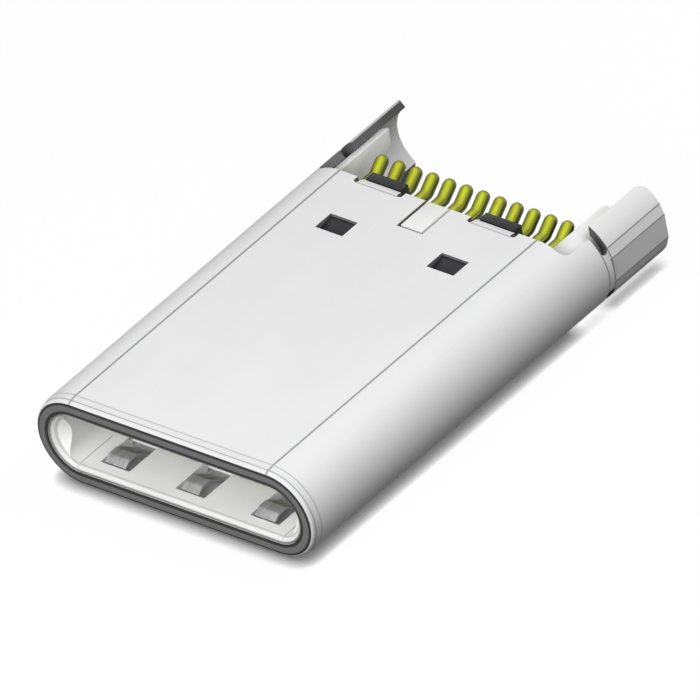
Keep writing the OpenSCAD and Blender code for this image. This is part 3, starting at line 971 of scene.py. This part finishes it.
class PLUG_OT_stage(bpy.types.Operator):
    """Set the pale floor, the soft lights and the camera"""

    bl_idname = "plug.stage"
    bl_label = "Stage"

    BLACK = (0, 0, 0, 1)
    WHITE = (1, 1, 1, 1)
    FLOOR_SIZE = 0.8
    FLOOR_DROP = 0.00001
    SHADE_SAMPLES = 6
    SHADE_POWER = 2
    # How much of the floor's lift is left where the plug stands
    SHADE_LEAST = 0.12
    SEEN_RAYS = ("Is Camera Ray", "Is Glossy Ray", "Is Transmission Ray")
    # Direction, distance and size of each light
    LIGHTS = {
        "key": ((0.04, -0.7, 0.71), 0.08, (0.12, 0.08)),
        "strip": ((0.34, 0.58, 0.74), 0.06, (0.03, 0.06)),
        "mouth": ((0.14, -0.84, 0.5), 0.06, (0.05, 0.03)),
    }
    # The camera's aim, and its right, up and back directions
    AIM = Vector((0.0022765, -0.002457, 0.002991))
    AXES = ((0.7694, 0.6211, -0.1480), (-0.2735, 0.5301, 0.8031), (0.57735, -0.57735, 0.57735))
    CAMERA_AWAY = 0.1
    CAMERA_CLIP = (0.001, 2)

    def execute(self, context):
        size = context.scene.plug_stage
        self.lay_floor(size)
        self.light_sky(context, size)
        for name, (direction, away, area) in self.LIGHTS.items():
            self.hang_light(name + "_light", direction, away, area, getattr(size, name))
        self.set_camera(context, size)
        context.scene.view_settings.view_transform = "Standard"
        return {"FINISHED"}

    def lay_floor(self, size):
        """Lay a dark floor that looks white to the camera, and a little darker close to the plug."""
        clear_selection()
        bpy.ops.mesh.primitive_plane_add(size=self.FLOOR_SIZE, location=(0, 0, -self.FLOOR_DROP))
        floor = bpy.context.object
        floor.name = floor.data.name = "floor"
        finish = Finish("pale_floor")
        clouds = finish.noise(finish.stretched(0.05, 0.05, 0.05))
        open_sky = finish.wire.node(
            "ShaderNodeAmbientOcclusion", {"samples": self.SHADE_SAMPLES}, {"Distance": size.shade_reach},
            output="AO")
        lift = self.seen_rays(finish.wire) * (
            self.SHADE_LEAST + open_sky ** self.SHADE_POWER * (1 - self.SHADE_LEAST))
        finish.feed({
            "Base Color": finish.blend(clouds, rgba(size.floor, 0.99), rgba(size.floor, 1.01)),
            "Roughness": 0.9,
            "Specular IOR Level": 0.0,
            "Emission Color": finish.blend(lift, self.BLACK, self.WHITE),
            "Emission Strength": size.floor_lift})
        floor.data.materials.append(finish.material)

    def seen_rays(self, wire):
        """One for rays from the camera and from mirrors and glass, and zero for the light that bounces."""
        outputs = wire.node("ShaderNodeLightPath").socket.node.outputs
        return reduce(or_, (Wire(wire.tree, outputs[name]) for name in self.SEEN_RAYS))

    def light_sky(self, context, size):
        """Surround the plug with even light that looks white to the camera."""
        world = bpy.data.worlds.new("soft_sky")
        context.scene.world = world
        world.use_nodes = True
        wire = Wire(world.node_tree)
        lit = blend(wire, self.seen_rays(wire), (size.sky, size.sky, size.sky, 1), self.WHITE)
        world.node_tree.links.new(lit.socket, world.node_tree.nodes["Background"].inputs["Color"])

    def hang_light(self, name, direction, away, size, watts):
        """Hang a soft rectangular light that faces the plug."""
        direction = Vector(direction).normalized()
        bpy.ops.object.light_add(type="AREA", location=direction * away)
        lamp = bpy.context.object
        lamp.name = lamp.data.name = name
        lamp.data.shape = "RECTANGLE"
        lamp.data.size, lamp.data.size_y = size
        lamp.data.energy = watts
        lamp.rotation_euler = direction.to_track_quat("Z", "Y").to_euler()

    def set_camera(self, context, size):
        bpy.ops.object.camera_add()
        camera = bpy.context.object
        camera.name = camera.data.name = "view_camera"
        camera.data.type = "ORTHO"
        camera.data.ortho_scale = size.view_width
        camera.data.clip_start, camera.data.clip_end = self.CAMERA_CLIP
        right, up, back = (Vector(axis) for axis in self.AXES)
        turn = Matrix((right, up, back)).transposed()
        camera.matrix_world = Matrix.Translation(self.AIM + back * self.CAMERA_AWAY) @ turn.to_4x4()
        context.scene.camera = camera


class PLUG_PT_builder(bpy.types.Panel):
    """Lists the plug's pieces and sizes"""

    bl_idname = "PLUG_PT_builder"
    bl_label = "Reversible plug"
    bl_space_type = "VIEW_3D"
    bl_region_type = "UI"
    bl_category = "Plug"

    def draw(self, context):
        for operator in OPERATORS:
            self.layout.operator(operator.bl_idname)
        for name, group in SETTINGS.items():
            box = self.layout.box()
            box.label(text=group.__doc__)
            for prop in group.__annotations__:
                box.prop(getattr(context.scene, name), prop)


OPERATORS = (PLUG_OT_shell, PLUG_OT_mouldings, PLUG_OT_springs, PLUG_OT_contacts, PLUG_OT_stage)
CLASSES = tuple(SETTINGS.values()) + OPERATORS + (PLUG_PT_builder,)


def register():
    for cls in CLASSES:
        bpy.utils.register_class(cls)
    for name, group in SETTINGS.items():
        setattr(bpy.types.Scene, name, bpy.props.PointerProperty(type=group))


def unregister():
    for name in SETTINGS:
        delattr(bpy.types.Scene, name)
    for cls in reversed(CLASSES):
        bpy.utils.unregister_class(cls)


def main():
    register()
    bpy.ops.plug.shell()
    bpy.ops.plug.mouldings()
    bpy.ops.plug.springs()
    bpy.ops.plug.contacts()
    bpy.ops.plug.stage()


if __name__ == "__main__":
    main()
